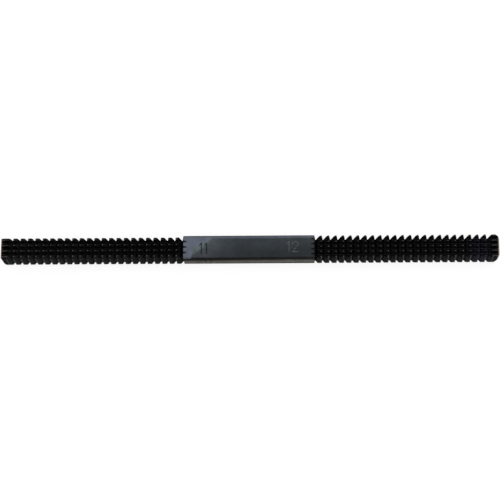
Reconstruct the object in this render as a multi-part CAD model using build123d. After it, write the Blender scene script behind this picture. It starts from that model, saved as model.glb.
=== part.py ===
from build123d import *
import math
import os

# Thread restoring file: one bar of hardened square steel with a plain grip in the middle.
# Each of its four faces carries two thread pitches, one on either side of the grip.
# X runs along the bar, Z is up and the bar rests on its bottom face, with the origin below its middle.
# Lengths are in millimetres and angles in degrees.

# The bar
inch = 25.4
length = 203.2
side = 9.525
grip_length = 53.3
edge_radius = 0.6

# Thread pitches as whole threads in one inch, by face, left and right of the grip
left_threads = {"top": 11, "front": 20, "bottom": 16, "back": 13}
right_threads = {"top": 12, "front": 24, "bottom": 18, "back": 14}

# Lengthwise grooves between the thread-shaped ridges; the two flats are shares of the pitch
thread_angle = 60
crest_flat_share = 1 / 8
root_flat_share = 1 / 7
runout_length = 1.5

# Gashes across the bar, which cut the ridges into teeth that bite on the push away from the grip.
# Each face's gashes are deeper than its grooves, and shallower where its threads are fine.
gash_pitch = 3.02
gash_depths = {"top": 1.65, "front": 0.88, "bottom": 1.1, "back": 1.65}
gash_root_flat = 0.2
gash_steep_angle = 14
gash_slope_angle = 48
end_tooth_least = 1.5

# Rounded-off ends, by face, as points from the face to the end: how far from the end and how deep below the face
left_bevels = {
    "top": [(2.6, 0), (0.35, 1.0), (0, 2.2)],
    "front": [(1.5, 0), (0.45, 0.6), (0, 1.15)],
    "bottom": [(1.5, 0), (0.4, 0.5), (0, 1.2)],
    "back": [(1.1, 0), (0.5, 0.35), (0, 0.8)],
}
right_bevels = {
    "top": [(1.5, 0), (0.5, 0.7), (0, 2.0)],
    "front": [(1.9, 0), (0.5, 0.8), (0, 1.3)],
    "bottom": [(1.5, 0), (0.4, 0.6), (0, 1.5)],
    "back": [(1.6, 0), (0.7, 0.7), (0, 1.5)],
}

# Stamped pitch numbers on the grip
digit_height = 4.9
digit_stroke = 0.5
digit_depth = 0.15
digit_gap = 0.9
left_number_inset = 8.1
right_number_inset = 8.7
left_number_drop = 0.65
right_number_drop = 0.1

# How far a cutting shape reaches past what it cuts
overrun = 1.0

# Digits in a box one wide and one high: strokes through two points are straight, through three points arcs.
# Rings give their middle in the same box and their radius as a share of the height.
digit_width_shares = {"0": 0.54, "1": 0.16, "2": 0.54, "3": 0.54, "4": 0.54, "6": 0.54, "8": 0.54}
digit_stroke_shares = {
    "0": [
        [(0, 0.27), (0, 0.73)],
        [(0, 0.73), (0.5, 1), (1, 0.73)],
        [(1, 0.73), (1, 0.27)],
        [(1, 0.27), (0.5, 0), (0, 0.27)],
    ],
    "1": [
        [(1, 0), (1, 1)],
        [(1, 1), (0, 0.8)],
    ],
    "2": [
        [(0, 0.73), (0.5, 1), (1, 0.73)],
        [(1, 0.73), (0, 0)],
        [(0, 0), (1, 0)],
    ],
    "3": [
        [(0.081, 0.885), (0.819, 0.885), (0.45, 0.54)],
        [(0.45, 0.54), (0.883, 0.135), (0.017, 0.135)],
    ],
    "4": [
        [(0.75, 0), (0.75, 1)],
        [(0.75, 1), (0, 0.3)],
        [(0, 0.3), (1, 0.3)],
    ],
    "6": [
        [(0, 0.27), (0.215, 0.694), (0.8, 1)],
    ],
    "8": [],
}
digit_ring_shares = {
    "6": [(0.5, 0.27, 0.27)],
    "8": [(0.5, 0.77, 0.23), (0.5, 0.27, 0.27)],
}

half_side = side / 2
half_length = length / 2
half_grip = grip_length / 2
gash_steep_rise = math.tan(math.radians(gash_steep_angle))
gash_slope_rise = math.tan(math.radians(gash_slope_angle))
gash_count = math.floor((half_length - half_grip - end_tooth_least) / gash_pitch)
join_x = half_grip + max(gash_depths.values()) * gash_steep_rise

# Turns about the bar's own axis that carry the top face to each of the four
face_turns = {"top": 0, "front": 90, "bottom": 180, "back": 270}


def groove_depth(pitch):
    """Depth that the thread's flanks give between their two flats."""
    flank_run = pitch * (1 - crest_flat_share - root_flat_share) / 2
    return flank_run / math.tan(math.radians(thread_angle / 2))


def groove_offsets(pitch):
    """Places of one face's grooves, even about its middle line, as far as the bar's corners."""
    ridges = math.floor(side / pitch + 1 / 2)
    offsets = [(number - ridges / 2) * pitch for number in range(ridges + 1)]
    return [offset for offset in offsets if abs(offset) < half_side - pitch * root_flat_share / 4]


def groove_outline(pitch, offset):
    """Cross-section of one groove of the top face, its mouth reaching past the face.

    A groove that runs along the bar's corner takes the thin lip on its outer side as well.
    """
    depth = groove_depth(pitch)
    half_root = pitch * root_flat_share / 2
    half_mouth = half_root + (depth + overrun) * math.tan(math.radians(thread_angle / 2))
    outer_root = half_root
    outer_mouth = half_mouth
    if half_side - abs(offset) < pitch / 2:
        outer_root = half_side - abs(offset) + overrun
        outer_mouth = outer_root
    points = [(-half_root, -depth), (outer_root, -depth), (outer_mouth, overrun), (-half_mouth, overrun)]
    outer_side = math.copysign(1, offset)
    return Pos(offset, half_side) * Polygon(*[(outer_side * x, y) for x, y in points], align=None)


def bar_section():
    """Square section with its long edges rounded, centred on the bar's axis."""
    square = Rectangle(side, side)
    return fillet(square.vertices(), edge_radius)


def grooved_section(threads):
    """The bar's section with the grooves of four pitches cut into its four faces."""
    cuts = []
    for face, turn in face_turns.items():
        pitch = inch / threads[face]
        for offset in groove_offsets(pitch):
            cuts.append(Rot(Z=turn) * groove_outline(pitch, offset))
    return bar_section() - cuts


def across(x):
    """Plane square to the bar at one station, its own x toward the back and its y up."""
    return Plane((x, 0, 0), x_dir=(0, 1, 0), z_dir=(1, 0, 0))


def stretch(section, start, end):
    """A section drawn across the bar as a solid from one station to another, about the bar's axis."""
    return extrude(across(start) * section, end - start)


def gash_width(face):
    """Length of one gash's mouth along the bar: its steep wall, its flat root and its sloping wall."""
    return gash_depths[face] * (gash_steep_rise + gash_slope_rise) + gash_root_flat


def toothed_edge(face, bevels):
    """One toothed stretch's edge on a face as points along the bar and off its axis, from the grip outward."""
    depth = gash_depths[face]
    points = []
    for number in range(gash_count):
        start = half_grip + number * gash_pitch
        root = start + depth * gash_steep_rise
        points.append((start, half_side))
        points.append((root, half_side - depth))
        points.append((root + gash_root_flat, half_side - depth))
        points.append((start + gash_width(face), half_side))
    points += [(half_length - back, half_side - drop) for back, drop in bevels[face]]
    return points


def whole_edge(face):
    """The whole bar's edge on a face, from its left end to its right end."""
    left = [(-x, height) for x, height in reversed(toothed_edge(face, left_bevels))]
    return left + toothed_edge(face, right_bevels)


def lengthwise_outline(upper_face, lower_face):
    """Outline of the whole bar seen square to its axis, between the edges on two opposite faces."""
    lower = [(x, -height) for x, height in reversed(whole_edge(lower_face))]
    return make_face(Polyline(whole_edge(upper_face) + lower, close=True))


def gashed_blank():
    """The square blank with its gashes and end bevels cut from the side and from above."""
    level = Plane.XZ * lengthwise_outline("top", "bottom")
    upright = lengthwise_outline("back", "front")
    return extrude(level, side, both=True) & extrude(upright, side, both=True)


def groove_runouts(threads):
    """Cuts that lift one stretch's grooves out of the steel at the grip's right end, about the bar's axis."""
    cuts = []
    for face, turn in face_turns.items():
        pitch = inch / threads[face]
        lift = Vector(-gash_width(face) - runout_length, 0, groove_depth(pitch))
        for offset in groove_offsets(pitch):
            outline = across(half_grip + gash_width(face)) * groove_outline(pitch, offset)
            cuts.append(Rot(X=turn) * extrude(outline, lift.length, dir=lift.normalized()))
    return cuts


def stroke_shape(points):
    """One stroke of a digit with round ends: a straight one through two points or an arc through three."""
    if len(points) == 3:
        return SlotArc(ThreePointArc(*points), digit_stroke)
    run = Vector(*points[1]) - Vector(*points[0])
    middle = (Vector(*points[1]) + Vector(*points[0])) / 2
    turn = math.degrees(math.atan2(run.Y, run.X))
    return Pos(middle) * Rot(Z=turn) * SlotCenterToCenter(run.length, digit_stroke)


def ring_shape(radius):
    """A round stroke that closes on itself, about the origin."""
    return Circle(radius + digit_stroke / 2) - Circle(radius - digit_stroke / 2)


def number_shape(number):
    """A pitch number as flat strokes, centred on its own middle."""
    high = digit_height - digit_stroke
    shapes = []
    left = 0
    for digit in str(number):
        wide = digit_width_shares[digit] * high
        for stroke in digit_stroke_shares[digit]:
            points = [(left + x_share * wide, y_share * high) for x_share, y_share in stroke]
            shapes.append(stroke_shape(points))
        for x_share, y_share, radius_share in digit_ring_shares.get(digit, []):
            middle = Pos(left + x_share * wide, y_share * high)
            shapes.append(middle * ring_shape(radius_share * high))
        left += wide + digit_stroke + digit_gap
    whole = shapes[0] + shapes[1:]
    return Pos(-whole.bounding_box().center()) * whole


def stamped_numbers():
    """All eight pitch numbers as shallow cuts, each on its own face and at its own end of the grip."""
    cuts = []
    for face, turn in face_turns.items():
        for number, x, drop in (
            (left_threads[face], left_number_inset - half_grip, left_number_drop),
            (right_threads[face], half_grip - right_number_inset, right_number_drop),
        ):
            plane = Plane((x, -drop, half_side - digit_depth))
            cuts.append(Rot(X=turn) * extrude(plane * number_shape(number), digit_depth + overrun))
    return cuts


def grip():
    """The plain stretch between the first gashes, with the grooves' run-outs and the stamped numbers."""
    bar = stretch(bar_section(), -join_x, join_x)
    right_cuts = groove_runouts(right_threads)
    left_cuts = [mirror(cut, Plane.YZ) for cut in groove_runouts(left_threads)]
    return bar - right_cuts - left_cuts - stamped_numbers()


def file_bar():
    """The whole bar, resting on its bottom face."""
    right = stretch(grooved_section(right_threads), join_x, half_length)
    left = stretch(grooved_section(left_threads), -half_length, -join_x)
    blank = gashed_blank()
    whole = (left & blank) + (right & blank) + (grip() & blank)
    return Pos(0, 0, half_side) * whole


os.makedirs("parts", exist_ok=True)
bar = file_bar()
bar.label = "file_bar"
export_step(bar, "parts/file_bar.step")
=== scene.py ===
import logging
import math
from dataclasses import dataclass, field
from enum import Enum
from typing import Any

import bmesh
import bpy
from mathutils import Matrix, Quaternion, Vector


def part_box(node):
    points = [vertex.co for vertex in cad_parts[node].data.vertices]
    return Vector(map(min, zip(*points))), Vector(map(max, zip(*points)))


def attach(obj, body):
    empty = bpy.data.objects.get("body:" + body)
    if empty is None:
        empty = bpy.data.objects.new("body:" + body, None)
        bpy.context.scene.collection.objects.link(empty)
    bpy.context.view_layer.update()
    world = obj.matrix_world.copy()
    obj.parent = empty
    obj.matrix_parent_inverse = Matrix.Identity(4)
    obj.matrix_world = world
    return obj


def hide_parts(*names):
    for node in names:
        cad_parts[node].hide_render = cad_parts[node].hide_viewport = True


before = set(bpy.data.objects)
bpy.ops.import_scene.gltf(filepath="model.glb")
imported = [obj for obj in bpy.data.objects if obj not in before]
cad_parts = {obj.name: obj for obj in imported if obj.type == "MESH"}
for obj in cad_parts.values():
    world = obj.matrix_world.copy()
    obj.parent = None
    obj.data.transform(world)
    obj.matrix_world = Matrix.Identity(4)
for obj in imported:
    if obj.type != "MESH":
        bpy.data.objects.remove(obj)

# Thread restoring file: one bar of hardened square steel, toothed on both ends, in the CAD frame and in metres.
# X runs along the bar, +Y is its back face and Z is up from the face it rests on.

log = logging.getLogger("thread_restoring_file")

Colour = tuple[float, float, float, float]

MM = 0.001
INCH = 25.4 * MM
CAD_NODE = "file_bar"


class Face(Enum):
    """One long face of the bar, with the turn about the bar's axis that carries the top face to it."""

    TOP = 0
    FRONT = 90
    BOTTOM = 180
    BACK = 270

    @property
    def turn(self) -> Matrix:
        """Turn that carries the top face to this one."""
        return Matrix.Rotation(math.radians(self.value), 4, "X")


class End(Enum):
    """One toothed end of the bar, with the half turn in plan that carries the right end to it."""

    RIGHT = 0
    LEFT = 180

    @property
    def sign(self) -> int:
        """Direction of this end along X."""
        return 1 if self is End.RIGHT else -1


class Ray(Enum):
    """Kinds of light path that see the white backdrop."""

    CAMERA = "Is Camera Ray"
    GLOSSY = "Is Glossy Ray"
    TRANSMISSION = "Is Transmission Ray"


@dataclass(frozen=True)
class Stretch:
    """Thread pitches, end bevels and the gashes' depth at the far end of one toothed stretch, by face."""

    threads_per_inch: dict[Face, int]
    bevels: dict[Face, list[tuple[float, float]]]
    far_depth_shares: dict[Face, float]


@dataclass(frozen=True)
class BarSizes:
    """Sizes of the whole bar, as the construction has them."""

    grip_length: float = 53.3 * MM
    edge_radius: float = 0.6 * MM
    thread_angle: float = math.radians(60)
    crest_flat_share: float = 1 / 8
    root_flat_share: float = 1 / 7
    runout_length: float = 1.5 * MM
    gash_pitch: float = 3.02 * MM
    gash_root_flat: float = 0.2 * MM
    gash_steep_angle: float = math.radians(14)
    gash_slope_angle: float = math.radians(48)
    gash_count: int = 24
    gash_depths: dict[Face, float] = field(
        default_factory=lambda: {
            Face.TOP: 1.65 * MM,
            Face.FRONT: 0.88 * MM,
            Face.BOTTOM: 1.1 * MM,
            Face.BACK: 1.65 * MM,
        }
    )
    stretches: dict[End, Stretch] = field(
        default_factory=lambda: {
            End.LEFT: Stretch(
                {Face.TOP: 11, Face.FRONT: 20, Face.BOTTOM: 16, Face.BACK: 13},
                {
                    Face.TOP: [(2.6 * MM, 0.0), (0.35 * MM, 1.0 * MM), (0.0, 2.2 * MM)],
                    Face.FRONT: [(1.5 * MM, 0.0), (0.45 * MM, 0.6 * MM), (0.0, 1.15 * MM)],
                    Face.BOTTOM: [(1.5 * MM, 0.0), (0.4 * MM, 0.5 * MM), (0.0, 1.2 * MM)],
                    Face.BACK: [(1.1 * MM, 0.0), (0.5 * MM, 0.35 * MM), (0.0, 0.8 * MM)],
                },
                {Face.TOP: 0.85, Face.FRONT: 0.72, Face.BOTTOM: 0.9, Face.BACK: 0.78},
            ),
            End.RIGHT: Stretch(
                {Face.TOP: 12, Face.FRONT: 24, Face.BOTTOM: 18, Face.BACK: 14},
                {
                    Face.TOP: [(1.5 * MM, 0.0), (0.5 * MM, 0.7 * MM), (0.0, 2.0 * MM)],
                    Face.FRONT: [(1.9 * MM, 0.0), (0.5 * MM, 0.8 * MM), (0.0, 1.3 * MM)],
                    Face.BOTTOM: [(1.5 * MM, 0.0), (0.4 * MM, 0.6 * MM), (0.0, 1.5 * MM)],
                    Face.BACK: [(1.6 * MM, 0.0), (0.7 * MM, 0.7 * MM), (0.0, 1.5 * MM)],
                },
                {Face.TOP: 1.0, Face.FRONT: 0.78, Face.BOTTOM: 0.95, Face.BACK: 1.0},
            ),
        }
    )

    @property
    def half_side(self) -> float:
        """Half the square's side, from the CAD node's own box."""
        low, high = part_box(CAD_NODE)
        return (high[2] - low[2]) / 2

    @property
    def half_length(self) -> float:
        """Half the bar's length, from the CAD node's own box."""
        low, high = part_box(CAD_NODE)
        return (high[0] - low[0]) / 2

    @property
    def half_grip(self) -> float:
        """Half the grip's length."""
        return self.grip_length / 2

    def pitch(self, end: End, face: Face) -> float:
        """Thread pitch of one face of one end."""
        return INCH / self.stretches[end].threads_per_inch[face]

    def groove_depth(self, pitch: float) -> float:
        """Depth that the thread's flanks give between their two flats."""
        flank_run = pitch * (1 - self.crest_flat_share - self.root_flat_share) / 2
        return flank_run / math.tan(self.thread_angle / 2)

    def groove_count(self, pitch: float) -> int:
        """Number of grooves on one face, even about its middle line, as far as the bar's corners."""
        ridges = math.floor(2 * self.half_side / pitch + 1 / 2)
        offsets = [(number - ridges / 2) * pitch for number in range(ridges + 1)]
        return sum(abs(offset) < self.half_side - pitch * self.root_flat_share / 4 for offset in offsets)

    def gash_width(self, face: Face) -> float:
        """Length of one gash's mouth along the bar."""
        walls = math.tan(self.gash_steep_angle) + math.tan(self.gash_slope_angle)
        return self.gash_depths[face] * walls + self.gash_root_flat


class NodeBench:
    """Adds and links the nodes of one node tree."""

    def __init__(self, tree: bpy.types.NodeTree) -> None:
        """Takes the tree to work on.

        Args:
            tree: An empty shader or geometry node tree.
        """
        self.tree = tree

    def add(self, kind: str, inputs: dict[Any, Any] | None = None, **settings: Any) -> bpy.types.Node:
        """Adds a node.

        Args:
            kind: The node's type name.
            inputs: Values or output sockets by input name or place.
            **settings: The node's own settings by name.

        Returns:
            The new node.
        """
        node = self.tree.nodes.new(kind)
        for name, value in settings.items():
            setattr(node, name, value)
        for name, value in (inputs or {}).items():
            self.feed(node.inputs[name], value)
        return node

    def feed(self, socket: bpy.types.NodeSocket, value: Any) -> None:
        """Gives an input a constant or a link.

        Args:
            socket: The input.
            value: A constant, or the output socket to link from.
        """
        if isinstance(value, bpy.types.NodeSocket):
            self.tree.links.new(value, socket)
        else:
            socket.default_value = value

    def maths(self, operation: str, *terms: Any, clamp: bool = False) -> bpy.types.NodeSocket:
        """Works out a number from one to three terms.

        Args:
            operation: The Math node's operation.
            *terms: Constants or output sockets.
            clamp: Whether the result is held between 0 and 1.

        Returns:
            The result's socket.
        """
        node = self.add("ShaderNodeMath", dict(enumerate(terms)), operation=operation, use_clamp=clamp)
        return node.outputs[0]

    def total(self, *terms: Any) -> bpy.types.NodeSocket:
        """Adds up any number of terms and returns the sum's socket."""
        whole = terms[0]
        for term in terms[1:]:
            whole = self.maths("ADD", whole, term)
        return whole

    def vector(self, x: Any = 0.0, y: Any = 0.0, z: Any = 0.0) -> bpy.types.NodeSocket:
        """Joins three numbers and returns the vector's socket."""
        return self.add("ShaderNodeCombineXYZ", {"X": x, "Y": y, "Z": z}).outputs[0]

    def ramp(self, value: Any, start: float, end: float, low: float = 0.0, high: float = 1.0) -> bpy.types.NodeSocket:
        """Eases a number from one value to another over a stretch of its input.

        Args:
            value: The input.
            start: Input at which the result is low.
            end: Input at which the result is high.
            low: Result before the start.
            high: Result past the end.

        Returns:
            The eased number's socket.
        """
        inputs = {"Value": value, "From Min": start, "From Max": end, "To Min": low, "To Max": high}
        return self.add("ShaderNodeMapRange", inputs, interpolation_type="SMOOTHSTEP").outputs[0]

    def noise(self, place: Any, scale: float, detail: float = 2.0, roughness: float = 0.5) -> bpy.types.NodeSocket:
        """Adds fractal noise at a place and returns its number's socket."""
        inputs = {"Vector": place, "Scale": scale, "Detail": detail, "Roughness": roughness}
        return self.add("ShaderNodeTexNoise", inputs).outputs["Fac"]

    def blend(self, share: Any, first: Any, second: Any, how: str = "MIX") -> bpy.types.NodeSocket:
        """Mixes two colours.

        Args:
            share: Share of the second.
            first: Colour or socket.
            second: Colour or socket.
            how: The Mix node's blend type.

        Returns:
            The mixed colour's socket.
        """
        node = self.add("ShaderNodeMix", {0: share}, data_type="RGBA", blend_type=how)
        self.feed(node.inputs[6], first)
        self.feed(node.inputs[7], second)
        return node.outputs[2]


def plain_mesh(holder: bpy.types.Object) -> None:
    """Turns an object's evaluated shape into its plain mesh and removes its modifiers.

    Args:
        holder: The object, at the origin.
    """
    shown = holder.evaluated_get(bpy.context.evaluated_depsgraph_get())
    made = bpy.data.meshes.new_from_object(shown)
    holder.modifiers.clear()
    old = holder.data
    holder.data = made
    bpy.data.meshes.remove(old)


def mesh_object(name: str, work: bmesh.types.BMesh) -> bpy.types.Object:
    """Puts a bmesh in a new object of the scene, with its faces pointing outward.

    Args:
        name: Name of the object and of its mesh.
        work: The shape, which is freed.

    Returns:
        The new object.
    """
    bmesh.ops.recalc_face_normals(work, faces=work.faces)
    mesh = bpy.data.meshes.new(name)
    work.to_mesh(mesh)
    work.free()
    made = bpy.data.objects.new(name, mesh)
    bpy.context.scene.collection.objects.link(made)
    return made


def prism(outline: list[tuple[float, float]], low: float, high: float, place: Matrix) -> bmesh.types.BMesh:
    """Draws a flat outline out into a solid.

    Args:
        outline: Corners in the outline's own X and Y.
        low: Start of the solid along its own Z.
        high: End of the solid along its own Z.
        place: Where the solid's own axes lie.

    Returns:
        The closed solid.
    """
    work = bmesh.new()
    near = [work.verts.new(place @ Vector((x, y, low))) for x, y in outline]
    far = [work.verts.new(place @ Vector((x, y, high))) for x, y in outline]
    count = len(outline)
    work.faces.new(near)
    work.faces.new(far)
    for number in range(count):
        after = (number + 1) % count
        work.faces.new((near[number], near[after], far[after], far[number]))
    return work


def combine(target: bpy.types.Object, other: bpy.types.Object, operation: str) -> None:
    """Cuts or crosses one closed mesh with another and drops the other.

    Args:
        target: The object that keeps the result.
        other: The cutting or crossing object, which is removed.
        operation: DIFFERENCE or INTERSECT.
    """
    step = target.modifiers.new("combine", "BOOLEAN")
    step.operation = operation
    step.solver = "MANIFOLD"
    step.object = other
    plain_mesh(target)
    mesh = other.data
    bpy.data.objects.remove(other)
    bpy.data.meshes.remove(mesh)


class CutterTree:
    """Shared start of the node trees that repeat one cutter and take the row out of the bar."""

    def __init__(self, name: str, inputs: dict[str, str]) -> None:
        """Makes the tree with its named inputs.

        Args:
            name: Name of the tree.
            inputs: Socket type by input name, after the geometry.
        """
        self.tree = bpy.data.node_groups.new(name, "GeometryNodeTree")
        face = self.tree.interface
        face.new_socket("Geometry", in_out="OUTPUT", socket_type="NodeSocketGeometry")
        face.new_socket("Geometry", in_out="INPUT", socket_type="NodeSocketGeometry")
        for socket, kind in inputs.items():
            face.new_socket(socket, in_out="INPUT", socket_type=kind)
        self.bench = NodeBench(self.tree)
        self.entry = self.tree.nodes.new("NodeGroupInput").outputs
        self.exit = self.tree.nodes.new("NodeGroupOutput").inputs

    def wedge(self, corners: list[tuple[Any, Any]], turn: tuple[float, float, float]) -> bpy.types.NodeSocket:
        """Makes one flat four-cornered face.

        Args:
            corners: The corners' X and Y, as numbers or sockets, in order.
            turn: Turn of the finished face about X, Y and Z.

        Returns:
            The face's geometry socket.
        """
        bench = self.bench
        points = {f"Point {number + 1}": bench.vector(x, y) for number, (x, y) in enumerate(corners)}
        outline = bench.add("GeometryNodeCurvePrimitiveQuadrilateral", points, mode="POINTS")
        filled = bench.add("GeometryNodeFillCurve", {"Curve": outline.outputs[0]}, mode="NGONS")
        turned = bench.add("GeometryNodeTransform", {"Geometry": filled.outputs[0], "Rotation": turn})
        return turned.outputs[0]

    def drawn(self, face: Any, offset: Any, flip: bool) -> bpy.types.NodeSocket:
        """Draws a flat face out along an offset, open at its start.

        Args:
            face: The face's geometry socket.
            offset: Socket of the way from start to end.
            flip: Whether the face is turned over first, for an offset against its normal.

        Returns:
            The drawn shape's geometry socket.
        """
        bench = self.bench
        source = bench.add("GeometryNodeFlipFaces", {"Mesh": face}).outputs[0] if flip else face
        inputs = {"Mesh": source, "Offset": offset, "Offset Scale": 1.0, "Individual": False}
        return bench.add("GeometryNodeExtrudeMesh", inputs, mode="FACES").outputs[0]

    def closed(self, *parts: Any) -> bpy.types.NodeSocket:
        """Joins open shapes along their shared rim into one closed mesh and returns its socket."""
        bench = self.bench
        joined = bench.add("GeometryNodeJoinGeometry")
        for part in parts:
            bench.tree.links.new(part, joined.inputs[0])
        merged = bench.add("GeometryNodeMergeByDistance", {"Geometry": joined.outputs[0], "Distance": 0.001 * MM})
        return merged.outputs[0]

    def row(self, count: Any, start: Any, step: Any, cutter: Any, scale: Any = (1, 1, 1)) -> bpy.types.NodeSocket:
        """Repeats a cutter along a line.

        Args:
            count: Number of cutters.
            start: Place of the first.
            step: Way from one to the next.
            cutter: The cutter's geometry socket.
            scale: Scale of each, which may differ.

        Returns:
            The row's geometry socket.
        """
        bench = self.bench
        line = bench.add("GeometryNodeMeshLine", {"Count": count, "Start Location": start, "Offset": step})
        inputs = {"Points": line.outputs[0], "Instance": cutter, "Scale": scale}
        return bench.add("GeometryNodeInstanceOnPoints", inputs).outputs[0]

    def cut(self, row: Any) -> None:
        """Turns the row to its end and face, takes it out of the incoming bar and ends the tree.

        Args:
            row: The row's geometry socket, on the right end's top face, about the bar's axis.
        """
        bench = self.bench
        plan_turn = bench.vector(z=self.entry["End turn"])
        to_end = bench.add("GeometryNodeTransform", {"Geometry": row, "Rotation": plan_turn})
        face_turn = bench.vector(x=self.entry["Face turn"])
        lift = bench.vector(z=self.entry["Half side"])
        to_face = bench.add(
            "GeometryNodeTransform",
            {"Geometry": to_end.outputs[0], "Rotation": face_turn, "Translation": lift},
        )
        whole = bench.add("GeometryNodeRealizeInstances", {"Geometry": to_face.outputs[0]})
        taken = bench.add("GeometryNodeMeshBoolean", operation="DIFFERENCE", solver="MANIFOLD")
        bench.feed(taken.inputs[0], self.entry["Geometry"])
        bench.feed(taken.inputs[1], whole.outputs[0])
        plain = bench.add("GeometryNodeRealizeInstances", {"Geometry": taken.outputs[0]})
        inputs = {"Geometry": plain.outputs[0], "Material": self.entry["Finish"]}
        dressed = bench.add("GeometryNodeSetMaterial", inputs)
        bench.feed(self.exit["Geometry"], dressed.outputs[0])


def groove_row_tree() -> bpy.types.NodeTree:
    """Makes the tree that cuts one face's lengthwise thread grooves, with their run-outs into the grip.

    Returns:
        The node tree.
    """
    names = ("Pitch", "Depth", "Root flat", "Flank slope", "Half side", "Groove start", "Groove end")
    inputs = {name: "NodeSocketFloat" for name in names}
    inputs |= {"Lift run": "NodeSocketFloat", "Clearance": "NodeSocketFloat", "Grooves": "NodeSocketInt"}
    inputs |= {"Face turn": "NodeSocketFloat", "End turn": "NodeSocketFloat", "Finish": "NodeSocketMaterial"}
    made = CutterTree("thread_groove_row", inputs)
    bench, entry = made.bench, made.entry
    floor = bench.maths("SUBTRACT", entry["Half side"], entry["Depth"])
    mouth = bench.maths("ADD", entry["Half side"], entry["Clearance"])
    root = bench.maths("MULTIPLY", entry["Root flat"], 0.5)
    flank = bench.maths("MULTIPLY", bench.maths("ADD", entry["Depth"], entry["Clearance"]), entry["Flank slope"])
    wide = bench.maths("ADD", root, flank)
    minus_root, minus_wide = bench.maths("MULTIPLY", root, -1.0), bench.maths("MULTIPLY", wide, -1.0)
    corners = [(minus_root, floor), (root, floor), (wide, mouth), (minus_wide, mouth)]
    outline = made.wedge(corners, (math.radians(90), 0.0, math.radians(90)))
    run = bench.maths("SUBTRACT", entry["Groove end"], entry["Groove start"])
    straight = made.drawn(outline, bench.vector(x=run), flip=False)
    back = bench.maths("MULTIPLY", entry["Lift run"], -1.0)
    lifted = made.drawn(outline, bench.vector(x=back, z=entry["Depth"]), flip=True)
    cutter = made.closed(straight, lifted)
    last = bench.maths("SUBTRACT", entry["Grooves"], 1.0)
    first_y = bench.maths("MULTIPLY", bench.maths("MULTIPLY", last, entry["Pitch"]), -0.5)
    start = bench.vector(x=entry["Groove start"], y=first_y)
    made.cut(made.row(entry["Grooves"], start, bench.vector(y=entry["Pitch"]), cutter))
    return made.tree


def gash_row_tree() -> bpy.types.NodeTree:
    """Makes the tree that cuts one face's gashes across the thread ridges, each a little unlike the next.

    Returns:
        The node tree.
    """
    names = ("Pitch", "Depth", "Root flat", "Steep slope", "Back slope", "Half side", "Grip end", "Clearance")
    inputs = {name: "NodeSocketFloat" for name in names}
    inputs |= {"Far depth share": "NodeSocketFloat", "Unevenness": "NodeSocketFloat"}
    inputs |= {"Gashes": "NodeSocketInt", "Seed": "NodeSocketInt"}
    inputs |= {"Face turn": "NodeSocketFloat", "End turn": "NodeSocketFloat", "Finish": "NodeSocketMaterial"}
    made = CutterTree("gash_row", inputs)
    bench, entry = made.bench, made.entry
    floor = bench.maths("MULTIPLY", entry["Depth"], -1.0)
    steep_foot = bench.maths("MULTIPLY", entry["Depth"], entry["Steep slope"])
    back_foot = bench.maths("ADD", steep_foot, entry["Root flat"])
    steep_top = bench.maths("MULTIPLY", bench.maths("MULTIPLY", entry["Clearance"], entry["Steep slope"]), -1.0)
    tall = bench.maths("ADD", entry["Depth"], entry["Clearance"])
    back_top = bench.maths("ADD", back_foot, bench.maths("MULTIPLY", tall, entry["Back slope"]))
    top = entry["Clearance"]
    corners = [(steep_top, top), (steep_foot, floor), (back_foot, floor), (back_top, top)]
    outline = made.wedge(corners, (math.radians(90), 0.0, 0.0))
    reach = bench.maths("ADD", entry["Half side"], entry["Clearance"])
    width = bench.maths("MULTIPLY", reach, 2.0)
    drawn = made.drawn(outline, bench.vector(y=bench.maths("MULTIPLY", width, -1.0)), flip=False)
    near = bench.add("GeometryNodeFlipFaces", {"Mesh": outline}).outputs[0]
    block = made.closed(drawn, near)
    middle = bench.vector(y=reach)
    cutter = bench.add("GeometryNodeTransform", {"Geometry": block, "Translation": middle}).outputs[0]
    place = bench.add("GeometryNodeInputIndex").outputs[0]
    last = bench.maths("SUBTRACT", entry["Gashes"], 1.0)
    along = bench.maths("DIVIDE", place, last)
    fade = bench.maths("MULTIPLY", along, bench.maths("SUBTRACT", entry["Far depth share"], 1.0))
    spread = bench.maths("MULTIPLY", entry["Unevenness"], -1.0)
    jitter = {"Min": spread, "Max": entry["Unevenness"], "ID": place, "Seed": entry["Seed"]}
    uneven = bench.add("FunctionNodeRandomValue", data_type="FLOAT")
    for socket in uneven.inputs:
        if socket.enabled and socket.name in jitter:
            bench.feed(socket, jitter[socket.name])
    share = bench.total(1.0, fade, uneven.outputs[1])
    start = bench.vector(x=entry["Grip end"], z=entry["Half side"])
    step = bench.vector(x=entry["Pitch"])
    made.cut(made.row(entry["Gashes"], start, step, cutter, bench.vector(1.0, 1.0, share)))
    return made.tree


def set_inputs(step: bpy.types.NodesModifier, values: dict[str, Any]) -> None:
    """Sets a Geometry Nodes modifier's inputs by their sockets' identifiers.

    Args:
        step: The modifier.
        values: Value by input name.
    """
    known = {item.name: item for item in step.node_group.interface.items_tree if item.in_out == "INPUT"}
    for name, value in values.items():
        step[known[name].identifier] = value


@dataclass(frozen=True)
class StampedNumber:
    """A pitch number pressed into the grip in round-bottomed strokes."""

    number: int
    face: Face
    x: float
    drop: float
    height: float = 4.9 * MM
    stroke: float = 0.5 * MM
    depth: float = 0.15 * MM
    gap: float = 0.9 * MM

    @property
    def strokes(self) -> list[list[tuple[float, float]]]:
        """The number's strokes, centred, each through two points as a line or through three as an arc."""
        high = self.height - self.stroke
        left = 0.0
        found: list[list[tuple[float, float]]] = []
        for digit in str(self.number):
            wide = (0.16 if digit == "1" else 0.54) * high
            for points in DIGIT_STROKES[digit]:
                found.append([(left + x * wide, y * high) for x, y in points])
            left += wide + self.stroke + self.gap
        middle = (left - self.stroke - self.gap) / 2
        return [[(x - middle, y - high / 2) for x, y in points] for points in found]


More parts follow.
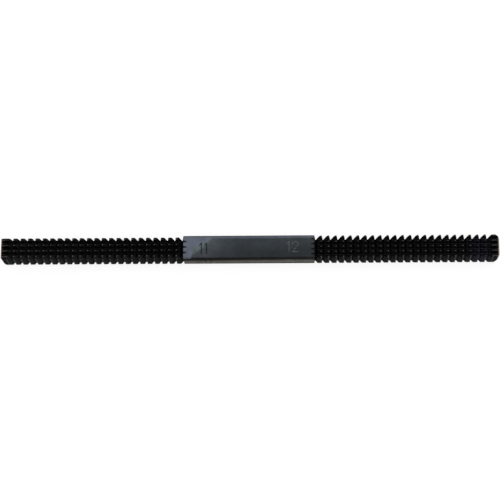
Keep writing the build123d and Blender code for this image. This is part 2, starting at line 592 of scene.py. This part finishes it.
# Digits in a box one wide and one high; a stroke of three points is an arc through them
DIGIT_STROKES: dict[str, list[list[tuple[float, float]]]] = {
    "0": [
        [(0, 0.27), (0, 0.73)],
        [(0, 0.73), (0.5, 1), (1, 0.73)],
        [(1, 0.73), (1, 0.27)],
        [(1, 0.27), (0.5, 0), (0, 0.27)],
    ],
    "1": [[(1, 0), (1, 1)], [(1, 1), (0, 0.8)]],
    "2": [[(0, 0.73), (0.5, 1), (1, 0.73)], [(1, 0.73), (0, 0)], [(0, 0), (1, 0)]],
    "3": [[(0.081, 0.885), (0.819, 0.885), (0.45, 0.54)], [(0.45, 0.54), (0.883, 0.135), (0.017, 0.135)]],
    "4": [[(0.75, 0), (0.75, 1)], [(0.75, 1), (0, 0.3)], [(0, 0.3), (1, 0.3)]],
    "6": [
        [(0, 0.27), (0.215, 0.694), (0.8, 1)],
        [(0, 0.27), (0.5, 0.54), (1, 0.27)],
        [(1, 0.27), (0.5, 0), (0, 0.27)],
    ],
    "8": [
        [(0.074, 0.77), (0.5, 1), (0.926, 0.77)],
        [(0.926, 0.77), (0.5, 0.54), (0.074, 0.77)],
        [(0, 0.27), (0.5, 0.54), (1, 0.27)],
        [(1, 0.27), (0.5, 0), (0, 0.27)],
    ],
}


def stroke_line(points: list[tuple[float, float]], steps: int) -> list[Vector]:
    """Places along a stroke: its two points, or even steps round the arc through its three.

    Args:
        points: Two or three points.
        steps: Number of runs that an arc is divided into.

    Returns:
        The places, in the stroke's own plane.
    """
    ends = [Vector((x, y, 0.0)) for x, y in points]
    if len(ends) == 2:
        return ends
    first, middle, last = (end.to_2d() for end in ends)
    chord, other = middle - first, last - first
    twice = 2 * chord.cross(other)
    centre = first + Vector(
        (
            (other.y * chord.length_squared - chord.y * other.length_squared) / twice,
            (chord.x * other.length_squared - other.x * chord.length_squared) / twice,
        )
    )
    start = (first - centre).to_3d()
    swing = start.to_2d().angle_signed(last - centre)
    through = start.to_2d().angle_signed(middle - centre)
    if abs(through) > abs(swing) or through * swing < 0:
        swing -= math.copysign(2 * math.pi, swing)
    turns = (Matrix.Rotation(-swing * number / steps, 3, "Z") for number in range(steps + 1))
    return [centre.to_3d() + turn @ start for turn in turns]


def punch_stroke(work: bmesh.types.BMesh, line: list[Vector], radius: float, place: Matrix) -> None:
    """Adds a round bar with round ends along a flat line.

    Args:
        work: The mesh that takes it.
        line: Places along the bar's middle.
        radius: The bar's radius.
        place: Where the line's own axes lie.
    """
    around, cap_rings = 14, 3
    starts = [(line[0], line[1] - line[0], -1.0)]
    ends = [(line[-1], line[-1] - line[-2], 1.0)]
    rings: list[tuple[Vector, Vector, float]] = []
    for spot, run, side in starts:
        for number in range(1, cap_rings + 1):
            lift = math.radians(90) * number / cap_rings
            rings.append((spot + side * run.normalized() * radius * math.cos(lift), run, radius * math.sin(lift)))
    for number in range(1, len(line) - 1):
        rings.append((line[number], line[number + 1] - line[number - 1], radius))
    for spot, run, side in ends:
        for number in range(cap_rings, 0, -1):
            lift = math.radians(90) * number / cap_rings
            rings.append((spot + side * run.normalized() * radius * math.cos(lift), run, radius * math.sin(lift)))
    up = Vector((0.0, 0.0, 1.0))
    loops = []
    for spot, run, reach in rings:
        across = up.cross(run.normalized())
        turns = [2 * math.pi * number / around for number in range(around)]
        spots = [spot + reach * (math.cos(turn) * across + math.sin(turn) * up) for turn in turns]
        loops.append([work.verts.new(place @ point) for point in spots])
    tips = [
        work.verts.new(place @ (line[0] - (line[1] - line[0]).normalized() * radius)),
        work.verts.new(place @ (line[-1] + (line[-1] - line[-2]).normalized() * radius)),
    ]
    for near, far in zip(loops, loops[1:]):
        for number in range(around):
            after = (number + 1) % around
            work.faces.new((near[number], near[after], far[after], far[number]))
    for tip, loop in zip(tips, (loops[0], loops[-1])):
        for number in range(around):
            work.faces.new((tip, loop[number], loop[(number + 1) % around]))


@dataclass(frozen=True)
class HardenedSteel:
    """Blackened satin steel: gunmetal grip and near-black teeth, with painted reflection, shade and highlights on both,
    crests lightened partly as wear and partly as painted highlight, and a heat tint on the right end's teeth.
    """

    half_side: float
    half_grip: float
    half_length: float
    pitch: float
    top_pitches: tuple[float, float]
    grip_colour: Colour = (0.044, 0.0515, 0.058, 1.0)
    # Painted shade: the grip's top and bottom faces darken toward the front.
    grip_front_colour: Colour = (0.031, 0.0355, 0.0405, 1.0)
    # Painted reflection and shade on the front face: a pale band, darker above it and toward the bottom, and its own
    # pale tone on the teeth.
    side_colour: Colour = (0.18, 0.176, 0.163, 1.0)
    side_top_colour: Colour = (0.027, 0.0262, 0.0252, 1.0)
    side_bottom_colour: Colour = (0.052, 0.0508, 0.046, 1.0)
    tooth_side_colour: Colour = (0.05, 0.0492, 0.0475, 1.0)
    # Painted highlight along the grip's back edge.
    back_edge_colour: Colour = (0.17, 0.178, 0.19, 1.0)
    # Painted shade in the deep roots of the grooves and gashes.
    root_colour: Colour = (0.005, 0.005, 0.0052, 1.0)
    flank_colour: Colour = (0.0195, 0.0195, 0.02, 1.0)
    # Crests lighter than the flanks: partly wear, partly a painted highlight.
    crest_colour: Colour = (0.04, 0.04, 0.042, 1.0)
    # Painted highlight at the outer tips of the teeth.
    tip_colour: Colour = (0.12, 0.12, 0.122, 1.0)
    # Painted highlight along the back edge of the teeth.
    back_tip_colour: Colour = (0.115, 0.112, 0.094, 1.0)
    end_colour: Colour = (0.012, 0.0095, 0.0085, 1.0)
    # Painted highlight lines where the ridges run down the end bevels.
    end_line_colour: Colour = (0.11, 0.085, 0.078, 1.0)
    # Painted highlight on the rim at each end.
    rim_colour: Colour = (0.28, 0.262, 0.225, 1.0)
    runout_colour: Colour = (0.013, 0.0155, 0.017, 1.0)
    # Painted shade in the stamped strokes, and speckled painted highlights in the right numbers.
    stamped_colour: Colour = (0.028, 0.033, 0.035, 1.0)
    stamped_scale_colour: Colour = (0.175, 0.186, 0.19, 1.0)
    pale_colour: Colour = (0.118, 0.142, 0.148, 1.0)
    # Painted lavender reflection at the grip's left end and along its back edge.
    lavender: Colour = (0.125, 0.142, 0.182, 1.0)
    violet: Colour = (0.026, 0.0245, 0.04, 1.0)
    roughness: float = 0.42
    glance_tint: float = 0.35

    def material(self) -> bpy.types.Material:
        """Makes the steel's node material.

        Returns:
            The material, on Object coordinates.
        """
        made = bpy.data.materials.new("hardened_steel")
        made.use_nodes = True
        made.node_tree.nodes.clear()
        bench = NodeBench(made.node_tree)
        place = bench.add("ShaderNodeTexCoord").outputs["Object"]
        axes = bench.add("ShaderNodeSeparateXYZ", {"Vector": place}).outputs
        along = bench.maths("ABSOLUTE", axes["X"])
        height = bench.maths("SUBTRACT", axes["Z"], self.half_side)
        wide, tall = bench.maths("ABSOLUTE", axes["Y"]), bench.maths("ABSOLUTE", height)
        outermost = bench.maths("MAXIMUM", wide, tall)
        sunk = bench.maths("SUBTRACT", self.half_side, outermost)
        cloud = bench.noise(place, 260.0, 3.0)
        patch = bench.noise(place, 900.0, 2.0)
        speckle = bench.noise(place, 5200.0, 3.0)
        brushed_place = bench.add("ShaderNodeMapping", {"Vector": place, "Scale": (0.05, 1.0, 1.0)}).outputs[0]
        brushed = bench.noise(brushed_place, 9000.0, 2.0)
        teeth = self.tooth_tone(bench, axes, along, height, sunk, patch)
        grip = self.grip_tone(bench, axes, height, sunk, patch, speckle)
        toothed = bench.ramp(along, self.half_grip - 0.04 * MM, self.half_grip + 0.04 * MM)
        steel = bench.blend(toothed, grip, teeth)
        mottled = bench.ramp(cloud, 0.3, 0.7, 0.9, 1.1)
        grain = bench.ramp(brushed, 0.3, 0.7, 0.93, 1.07)
        tone = bench.maths("MULTIPLY", mottled, grain)
        toned = bench.add("ShaderNodeVectorMath", {0: steel}, operation="SCALE")
        bench.feed(toned.inputs["Scale"], tone)
        rough = bench.ramp(speckle, 0.3, 0.7, self.roughness - 0.05, self.roughness + 0.07)
        bump = bench.add("ShaderNodeBump", {"Strength": 0.25, "Distance": 0.02 * MM, "Height": brushed})
        shader = bench.add(
            "ShaderNodeBsdfPrincipled",
            {
                "Base Color": toned.outputs[0],
                "Metallic": 1.0,
                "Roughness": rough,
                "Specular Tint": (self.glance_tint, self.glance_tint, self.glance_tint, 1.0),
                "Normal": bump.outputs[0],
            },
        )
        bench.add("ShaderNodeOutputMaterial", {"Surface": shader.outputs[0]})
        return made

    def tooth_tone(
        self, bench: NodeBench, axes: Any, along: Any, height: Any, sunk: Any, patch: Any
    ) -> bpy.types.NodeSocket:
        """Colours the toothed ends: black flanks with painted shade toward the roots, crests lightened partly as wear
        and partly as painted highlight, painted highlights at the outer tips, along the back edge and on the end rim,
        and browned ends with painted highlight lines.

        Args:
            bench: The material's bench.
            axes: Outputs with the place's X, Y and Z.
            along: Distance from the bar's middle along it.
            height: Height above the bar's axis.
            sunk: Depth below the nearest long face.
            patch: Noise that breaks up the wear and the painted highlights on crests and tips.

        Returns:
            The colour's socket.
        """
        # Crests lighter than the flanks: partly wear, partly a painted highlight.
        crest = bench.ramp(sunk, 0.02 * MM, 0.14 * MM, 1.0, 0.0)
        wear_and_highlight = bench.maths("MULTIPLY", crest, bench.ramp(patch, 0.25, 0.7, 0.55, 1.0))
        # Painted highlight at the outer end of each tooth.
        past_grip = bench.maths("SUBTRACT", along, self.half_grip)
        phase = bench.maths("FRACT", bench.maths("DIVIDE", past_grip, self.pitch))
        shallow = bench.ramp(sunk, 0.1 * MM, 0.45 * MM, 1.0, 0.0)
        tip = bench.maths("MULTIPLY", bench.ramp(phase, 0.84, 0.93), shallow)
        # Painted shade darkens the flanks toward the roots.
        deep = bench.ramp(sunk, 1.1 * MM, 1.5 * MM)
        flanks = bench.blend(deep, self.flank_colour, self.root_colour)
        # On the front face the crests take the painted reflection and shade.
        crests = bench.blend(self.side_share(bench, axes), self.crest_colour, self.side_tone(bench, axes, height, True))
        black = bench.blend(wear_and_highlight, flanks, crests)
        bright = bench.maths("MULTIPLY", tip, bench.ramp(patch, 0.3, 0.65, 0.25, 1.0))
        tint_and_glare = bench.maths(
            "MULTIPLY",
            bench.ramp(axes["X"], 90.2 * MM, 90.9 * MM, 0.0, 0.55),
            bench.ramp(axes["X"], 97.0 * MM, 97.8 * MM, 1.0, 0.0),
        )
        teeth = bench.blend(tint_and_glare, bench.blend(bright, black, self.tip_colour), self.violet)
        # Painted highlight along the back edge of the teeth.
        back = bench.ramp(axes["Y"], self.half_side - 0.9 * MM, self.half_side - 0.25 * MM)
        upper = bench.ramp(height, 0.35 * self.half_side, 0.6 * self.half_side)
        edged = bench.blend(bench.maths("MULTIPLY", back, upper), teeth, self.back_tip_colour)
        # Browned ends, with painted highlight lines where the ridges run down the end bevels.
        end = bench.ramp(along, self.half_length - 2.6 * MM, self.half_length - 1.4 * MM)
        browned_with_highlights = bench.blend(self.crest_lines(bench, axes, height), self.end_colour, self.end_line_colour)
        # Painted highlight on the rim at each end.
        rim = bench.ramp(along, self.half_length - 0.75 * MM, self.half_length - 0.4 * MM)
        return bench.blend(rim, bench.blend(end, edged, browned_with_highlights), self.rim_colour)

    def crest_lines(self, bench: NodeBench, axes: Any, height: Any) -> bpy.types.NodeSocket:
        """Marks where the top face's ridges run down the end bevels, for the painted highlight lines there.

        Args:
            bench: The material's bench.
            axes: Outputs with the place's X, Y and Z.
            height: Height above the bar's axis.

        Returns:
            The mask's socket.
        """
        left_pitch, right_pitch = self.top_pitches
        right = bench.maths("GREATER_THAN", axes["X"], 0.0)
        pitch = bench.maths("ADD", bench.maths("MULTIPLY", right, right_pitch - left_pitch), left_pitch)
        turns = bench.maths("DIVIDE", axes["Y"], pitch)
        wave = bench.maths("COSINE", bench.maths("MULTIPLY", turns, 2 * math.pi))
        sided = bench.maths("MULTIPLY", wave, bench.maths("SUBTRACT", bench.maths("MULTIPLY", right, 2.0), 1.0))
        upper = bench.ramp(height, self.half_side - 1.3 * MM, self.half_side - 0.9 * MM)
        return bench.maths("MULTIPLY", bench.ramp(sided, 0.75, 0.95), upper)

    def side_share(self, bench: NodeBench, axes: Any) -> bpy.types.NodeSocket:
        """Share of the front face's painted reflection and shade at a place."""
        return bench.ramp(axes["Y"], 0.1 * MM - self.half_side, 0.5 * MM - self.half_side, 1.0, 0.0)

    def side_tone(self, bench: NodeBench, axes: Any, height: Any, toothed: bool) -> bpy.types.NodeSocket:
        """Painted reflection and shade on the front face: palest along a band that climbs a little toward the right,
        darker above it and toward the bottom.

        Args:
            bench: The material's bench.
            axes: Outputs with the place's X, Y and Z.
            height: Height above the bar's axis.
            toothed: Whether it is for the toothed stretches.

        Returns:
            The colour's socket.
        """
        climb = bench.ramp(axes["X"], -self.half_grip, self.half_grip, -0.45 * MM, 0.45 * MM)
        level = bench.maths("SUBTRACT", height, climb)
        high = bench.ramp(level, -0.25 * self.half_side, 0.6 * self.half_side)
        palest = self.tooth_side_colour if toothed else self.side_colour
        low = bench.ramp(level, -0.95 * self.half_side, -0.45 * self.half_side)
        return bench.blend(high, bench.blend(low, self.side_bottom_colour, palest), self.side_top_colour)

    def grip_tone(
        self, bench: NodeBench, axes: Any, height: Any, sunk: Any, patch: Any, speckle: Any
    ) -> bpy.types.NodeSocket:
        """Colours the grip: gunmetal with painted shade toward the front, a painted lavender reflection at its left end
        and along its back edge, painted reflection and shade on the front face, and stamped numbers with painted shade
        and painted highlights.

        Args:
            bench: The material's bench.
            axes: Outputs with the place's X, Y and Z.
            height: Height above the bar's axis.
            sunk: Depth below the nearest long face.
            patch: Noise that breaks up the painted reflection's edge.
            speckle: Fine noise that places painted highlights in the right numbers.

        Returns:
            The colour's socket.
        """
        # Painted lavender reflection: a ragged patch at the grip's left end, and a band along the back edge.
        swell = bench.ramp(axes["Y"], 0.2 * MM, 3.2 * MM, 0.0, 5.6 * MM)
        edge = bench.total(bench.maths("MULTIPLY", axes["Y"], 0.33), swell, -22.0 * MM)
        past = bench.maths("SUBTRACT", axes["X"], edge)
        ragged = bench.total(past, bench.maths("MULTIPLY", patch, 2.4 * MM), -1.2 * MM)
        tint_and_glare = bench.ramp(ragged, -0.5 * MM, 0.4 * MM, 1.0, 0.0)
        upper = bench.ramp(height, self.half_side - 1.0 * MM, self.half_side - 0.6 * MM)
        back_edge = bench.ramp(axes["Y"], self.half_side - 1.7 * MM, self.half_side - 0.5 * MM)
        sheen = bench.maths("MAXIMUM", tint_and_glare, bench.maths("MULTIPLY", back_edge, 0.9))
        # Painted shade: the grip darkens toward the front.
        fronted = bench.ramp(axes["Y"], -3.0 * MM, 2.6 * MM)
        level = bench.blend(fronted, self.grip_front_colour, self.grip_colour)
        paled = bench.add("ShaderNodeVectorMath", {0: level}, operation="SCALE")
        bench.feed(paled.inputs["Scale"], bench.ramp(axes["X"], -24.0 * MM, -2.0 * MM, 1.95, 1.0))
        faded = bench.blend(self.pale_share(bench, axes), paled.outputs[0], self.pale_colour)
        topped = bench.blend(upper, level, faded)
        # The front face takes the painted reflection and shade.
        plain = bench.blend(self.side_share(bench, axes), topped, self.side_tone(bench, axes, height, False))
        # Mixes in the painted lavender reflection on the top face.
        with_reflection = bench.blend(bench.maths("MULTIPLY", sheen, upper), plain, self.lavender)
        # Painted highlight on the outermost strip of the back edge.
        outermost = bench.ramp(axes["Y"], self.half_side - 0.55 * MM, self.half_side - 0.3 * MM)
        grip = bench.blend(bench.maths("MULTIPLY", outermost, upper), with_reflection, self.back_edge_colour)
        # Painted shade in the stamped strokes, with speckled painted highlights in the right numbers; the run-outs near
        # the grip's ends take their own dark tone.
        least = bench.maths("MINIMUM", bench.maths("ABSOLUTE", axes["Y"]), bench.maths("ABSOLUTE", height))
        inner = bench.ramp(least, 3.5 * MM, 3.9 * MM, 1.0, 0.0)
        pressed = bench.maths("MULTIPLY", bench.ramp(sunk, 0.01 * MM, 0.06 * MM), inner)
        stamped_highlight_share = bench.maths("MULTIPLY", bench.ramp(speckle, 0.4, 0.5), bench.ramp(axes["X"], 0.0, 1.0 * MM))
        stamped = bench.blend(stamped_highlight_share, self.stamped_colour, self.stamped_scale_colour)
        along = bench.maths("ABSOLUTE", axes["X"])
        outer = bench.ramp(along, self.half_grip - 2.0 * MM, self.half_grip - 1.7 * MM)
        shown = bench.ramp(axes["Y"], 0.5 * MM - self.half_side, 1.0 * MM - self.half_side)
        kept = bench.maths("SUBTRACT", 1.0, bench.maths("MULTIPLY", outer, bench.maths("SUBTRACT", 1.0, shown)))
        dark = bench.blend(outer, stamped, self.runout_colour)
        return bench.blend(bench.maths("MULTIPLY", bench.maths("MULTIPLY", pressed, kept), 0.85), grip, dark)

    def pale_share(self, bench: NodeBench, axes: Any) -> bpy.types.NodeSocket:
        """Share of the paler tint that lies beside the painted reflection at the grip's left end.

        Args:
            bench: The material's bench.
            axes: Outputs with the place's X, Y and Z.

        Returns:
            The share's socket.
        """
        across = bench.maths("SUBTRACT", axes["Y"], 0.4 * MM)
        lean = bench.maths("MINIMUM", bench.maths("MULTIPLY", across, 0.55), bench.maths("MULTIPLY", across, 1.42))
        past = bench.total(axes["X"], 17.3 * MM, bench.maths("MULTIPLY", lean, -1.0))
        reach = bench.ramp(past, -0.9 * MM, 0.7 * MM, 1.0, 0.0)
        return bench.maths("MULTIPLY", reach, bench.ramp(axes["Y"], -3.5 * MM, 0.6 * MM, 0.35, 1.0))


@dataclass
class FileBar:
    """The whole bar, cut from a square blank: numbers, thread grooves and gashes, and its steel."""

    sizes: BarSizes
    edge_break: float = 0.02 * MM
    break_angle: float = math.radians(28)
    break_least_area: float = 0.02 * MM**2
    edge_steps: int = 5
    clearance: float = 0.05 * MM
    gash_unevenness: float = 0.02
    flat_cosine: float = 0.9999
    flat_least_area: float = MM**2
    numbers: list[StampedNumber] = field(default_factory=list)

    def __post_init__(self) -> None:
        """Places the eight stamped numbers, each on its own face and at its own end of the grip."""
        insets = {End.LEFT: 8.1 * MM, End.RIGHT: 8.7 * MM}
        drops = {End.LEFT: 0.65 * MM, End.RIGHT: 0.1 * MM}
        for end, stretch in self.sizes.stretches.items():
            x = end.sign * (self.sizes.half_grip - insets[end])
            for face, number in stretch.threads_per_inch.items():
                self.numbers.append(StampedNumber(number, face, x, drops[end]))

    def end_outline(self, upper: Face, lower: Face) -> list[tuple[float, float]]:
        """Outline of the bare bar between two opposite faces, with its end bevels.

        Args:
            upper: Face on the outline's upper edge.
            lower: Face on its lower edge.

        Returns:
            Corners along the bar and off its axis.
        """
        half, tall = self.sizes.half_length, self.sizes.half_side
        corners = []
        for face, level in ((upper, 1), (lower, -1)):
            edge = []
            for end in (End.LEFT, End.RIGHT):
                bevel = self.sizes.stretches[end].bevels[face]
                points = [(end.sign * (half - back), level * (tall - drop)) for back, drop in bevel]
                edge += points[::-1] if end is End.LEFT else points
            corners += edge if level > 0 else edge[::-1]
        return corners

    def blank(self) -> bpy.types.Object:
        """Makes the square bar with rounded long edges and ends.

        Returns:
            The blank, resting on its bottom face.
        """
        half, tall, radius = self.sizes.half_length, self.sizes.half_side, self.sizes.edge_radius
        lift = Matrix.Translation((0.0, 0.0, tall))
        along = lift @ Matrix(((0, 0, 1), (1, 0, 0), (0, 1, 0))).to_4x4()
        from_side = lift @ Matrix(((1, 0, 0), (0, 0, -1), (0, 1, 0))).to_4x4()
        flat = tall - radius
        section = []
        for quarter in range(4):
            for step in range(self.edge_steps + 1):
                turn = math.radians(90) * (quarter + step / self.edge_steps)
                corner = math.radians(90) * quarter + math.radians(45)
                middle = Vector((math.cos(corner), math.sin(corner))) * flat * math.sqrt(2)
                section.append(tuple(middle + radius * Vector((math.cos(turn), math.sin(turn)))))
        bar = mesh_object("bar_steel", prism(section, -half, half, along))
        level = mesh_object("level_cut", prism(self.end_outline(Face.TOP, Face.BOTTOM), -half, half, from_side))
        upright = mesh_object("upright_cut", prism(self.end_outline(Face.BACK, Face.FRONT), -half, half, lift))
        combine(bar, level, "INTERSECT")
        combine(bar, upright, "INTERSECT")
        return bar

    def stamp(self, bar: bpy.types.Object) -> None:
        """Presses the pitch numbers into the grip, one stroke of every digit at a time.

        Args:
            bar: The cut bar with its edges broken.
        """
        lift = Matrix.Translation((0.0, 0.0, self.sizes.half_side))
        layers: dict[int, bmesh.types.BMesh] = {}
        for number in self.numbers:
            radius = (number.stroke**2 / 4 + number.depth**2) / (2 * number.depth)
            height = self.sizes.half_side - number.depth + radius
            spot = Matrix.Translation((number.x, -number.drop, height))
            for layer, points in enumerate(number.strokes):
                work = layers.setdefault(layer, bmesh.new())
                punch_stroke(work, stroke_line(points, 10), radius, lift @ number.face.turn @ spot)
        for layer, work in layers.items():
            combine(bar, mesh_object(f"stroke_layer_{layer}", work), "DIFFERENCE")

    def cut_rows(self, bar: bpy.types.Object, steel: bpy.types.Material) -> None:
        """Cuts the thread grooves and the gashes of every face and end.

        Args:
            bar: The blank.
            steel: The finish that each tree sets.
        """
        sizes = self.sizes
        grooves, gashes = groove_row_tree(), gash_row_tree()
        half_angle = sizes.thread_angle / 2
        for end in End:
            for face in Face:
                pitch, depth = sizes.pitch(end, face), sizes.groove_depth(sizes.pitch(end, face))
                shared = {
                    "Half side": sizes.half_side,
                    "Clearance": self.clearance,
                    "Face turn": math.radians(face.value),
                    "End turn": math.radians(end.value),
                    "Finish": steel,
                }
                step = bar.modifiers.new(f"grooves_{end.name}_{face.name}", "NODES")
                step.node_group = grooves
                set_inputs(
                    step,
                    shared
                    | {
                        "Pitch": pitch,
                        "Depth": depth,
                        "Root flat": pitch * sizes.root_flat_share,
                        "Flank slope": math.tan(half_angle),
                        "Grooves": sizes.groove_count(pitch),
                        "Groove start": sizes.half_grip + sizes.gash_width(face),
                        "Groove end": sizes.half_length + self.clearance,
                        "Lift run": sizes.gash_width(face) + sizes.runout_length,
                    },
                )
                plain_mesh(bar)
                step = bar.modifiers.new(f"gashes_{end.name}_{face.name}", "NODES")
                step.node_group = gashes
                set_inputs(
                    step,
                    shared
                    | {
                        "Pitch": sizes.gash_pitch,
                        "Depth": sizes.gash_depths[face],
                        "Root flat": sizes.gash_root_flat,
                        "Steep slope": math.tan(sizes.gash_steep_angle),
                        "Back slope": math.tan(sizes.gash_slope_angle),
                        "Gashes": sizes.gash_count,
                        "Grip end": sizes.half_grip,
                        "Far depth share": sizes.stretches[end].far_depth_shares[face],
                        "Unevenness": self.gash_unevenness,
                        "Seed": 11 + face.value + end.value // 18,
                    },
                )
                plain_mesh(bar)
                log.info("%s %s: cut, %d faces", end.name, face.name, len(bar.data.polygons))

    def on_crest(self, edge: bmesh.types.BMEdge, tall: float) -> bool:
        """Tells whether an edge is a sharp rim of the crests or the grip, with room beside it for its break.

        Args:
            edge: An edge of the cut bar.
            tall: Half the square's side.

        Returns:
            Whether the edge is to be broken.
        """
        if edge.calc_face_angle_signed(0.0) < self.break_angle:
            return False
        reach = min(max(abs(vertex.co.y), abs(vertex.co.z - tall)) for vertex in edge.verts)
        room = min(side.calc_area() for side in edge.link_faces)
        return reach > tall - self.edge_break / 2 and room > self.break_least_area

    def break_edges(self, bar: bpy.types.Object) -> None:
        """Breaks the crests' sharp rims a little, as wear does.

        Args:
            bar: The finished cut bar.
        """
        half, tall = self.sizes.half_length, self.sizes.half_side
        work = bmesh.new()
        work.from_mesh(bar.data)
        weights = work.edges.layers.float.new("bevel_weight_edge")
        for edge in work.edges:
            edge[weights] = float(self.on_crest(edge, tall))
        work.to_mesh(bar.data)
        work.free()
        step = bar.modifiers.new("edge_break", "BEVEL")
        step.width = self.edge_break
        step.segments = 1
        step.limit_method = "WEIGHT"
        step.use_clamp_overlap = False
        plain_mesh(bar)
        bar.data.attributes.remove(bar.data.attributes["bevel_weight_edge"])
        for vertex in bar.data.vertices:
            x, y, z = vertex.co
            vertex.co = (max(-half, min(half, x)), max(-tall, min(tall, y)), max(0.0, min(2 * tall, z)))

    def smooth(self, bar: bpy.types.Object) -> None:
        """Shades the small roundings smooth and leaves sharp edges and the large flat faces as they are.

        Args:
            bar: The finished shape.
        """
        bar.data.shade_smooth()
        bar.data.set_sharp_from_angle(angle=math.radians(32))
        for side in bar.data.polygons:
            level = max(abs(side.normal.y), abs(side.normal.z)) > self.flat_cosine
            if level and side.area > self.flat_least_area:
                side.use_smooth = False

    def build(self, steel: bpy.types.Material) -> bpy.types.Object:
        """Makes the whole bar and gives it its node and slot.

        Args:
            steel: The bar's finish.

        Returns:
            The finished piece.
        """
        bar = self.blank()
        self.cut_rows(bar, steel)
        self.break_edges(bar)
        self.stamp(bar)
        self.smooth(bar)
        bar.data.materials.clear()
        bar.data.materials.append(steel)
        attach(bar, "root")
        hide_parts(CAD_NODE)
        return bar


@dataclass(frozen=True)
class Studio:
    """Pale floor, soft light and a camera at the photograph's angle."""

    half_side: float
    elevation: float = math.radians(75.1)
    lean: float = math.radians(1.9)
    roll: float = math.radians(0.35)
    distance: float = 702 * MM
    lens: float = 123.6
    aim: tuple[float, float] = (0.38 * MM, -0.18 * MM)
    floor_half: float = 3.0
    zenith_strength: float = 1.0
    horizon_strength: float = 0.2

    def floor(self) -> bpy.types.Object:
        """Makes the white floor, which keeps the bar's soft shadow.

        Returns:
            The floor's object.
        """
        work = bmesh.new()
        bmesh.ops.create_grid(work, x_segments=2, y_segments=2, size=self.floor_half)
        made = mesh_object("studio_floor", work)
        paper = bpy.data.materials.new("studio_paper")
        paper.use_nodes = True
        paper.node_tree.nodes.clear()
        bench = NodeBench(paper.node_tree)
        plain = bench.add("ShaderNodeBsdfDiffuse", {"Color": (0.8, 0.8, 0.8, 1.0)})
        shaded = bench.add("ShaderNodeBsdfDiffuse", {"Color": (0.35, 0.35, 0.35, 1.0)})
        glow = bench.add("ShaderNodeEmission", {"Color": (1.0, 1.0, 1.0, 1.0), "Strength": 0.8})
        seen = bench.add("ShaderNodeAddShader", {0: shaded.outputs[0], 1: glow.outputs[0]})
        share = self.backdrop_share(bench)
        mixed = bench.add("ShaderNodeMixShader", {0: share, 1: plain.outputs[0], 2: seen.outputs[0]})
        bench.add("ShaderNodeOutputMaterial", {"Surface": mixed.outputs[0]})
        made.data.materials.append(paper)
        return made

    def backdrop_share(self, bench: NodeBench) -> bpy.types.NodeSocket:
        """Socket that is one on the rays that see the white backdrop and zero on the rest."""
        path = bench.add("ShaderNodeLightPath").outputs
        share = bench.maths("MAXIMUM", path[Ray.CAMERA.value], path[Ray.GLOSSY.value])
        return bench.maths("MAXIMUM", share, path[Ray.TRANSMISSION.value])

    def light(self) -> None:
        """Lights the bar from a soft dome that is bright overhead and dim at the horizon."""
        world = bpy.data.worlds.new("studio_dome")
        bpy.context.scene.world = world
        world.use_nodes = True
        world.node_tree.nodes.clear()
        bench = NodeBench(world.node_tree)
        way = bench.add("ShaderNodeTexCoord").outputs["Generated"]
        height = bench.add("ShaderNodeSeparateXYZ", {"Vector": way}).outputs["Z"]
        dome = bench.ramp(height, 0.3, 0.85, self.horizon_strength, self.zenith_strength)
        seen = bench.add("ShaderNodeLightPath").outputs[Ray.CAMERA.value]
        strength = bench.maths("MAXIMUM", dome, seen)
        sky = bench.add("ShaderNodeBackground", {"Color": (1.0, 1.0, 1.0, 1.0), "Strength": strength})
        bench.add("ShaderNodeOutputWorld", {"Surface": sky.outputs[0]})

    def camera(self) -> None:
        """Sets up the camera as the fit to the photograph's outline has it."""
        made = bpy.data.cameras.new("camera")
        made.lens = self.lens
        made.sensor_width = 36.0
        holder = bpy.data.objects.new("camera", made)
        bpy.context.scene.collection.objects.link(holder)
        rise = math.tan(self.elevation)
        back = Vector((math.tan(self.lean), -1 / rise, 1.0)).normalized()
        holder.location = Vector((*self.aim, self.half_side)) + back * self.distance
        look = (-back).to_track_quat("-Z", "Y")
        right, up = look @ Vector((1.0, 0.0, 0.0)), look @ Vector((0.0, 1.0, 0.0))
        level = math.atan2(up.x, right.x)
        holder.rotation_mode = "QUATERNION"
        holder.rotation_quaternion = look @ Quaternion((0.0, 0.0, 1.0), level - self.roll)
        bpy.context.scene.camera = holder

    def build(self) -> None:
        """Makes floor, light and camera, and sets how colours are shown."""
        self.floor()
        self.light()
        self.camera()
        bpy.context.scene.view_settings.view_transform = "Standard"


def main() -> None:
    """Builds the bar and its studio."""
    logging.basicConfig(level=logging.INFO, format="%(message)s")
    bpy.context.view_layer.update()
    sizes = BarSizes()
    studio = Studio(sizes.half_side)
    studio.build()
    log.info("studio: floor, light and camera made")
    top_pitches = (sizes.pitch(End.LEFT, Face.TOP), sizes.pitch(End.RIGHT, Face.TOP))
    finish = HardenedSteel(sizes.half_side, sizes.half_grip, sizes.half_length, sizes.gash_pitch, top_pitches)
    steel = finish.material()
    bar = FileBar(sizes).build(steel)
    log.info("%s: %d faces", bar.name, len(bar.data.polygons))


if __name__ == "__main__":
    main()
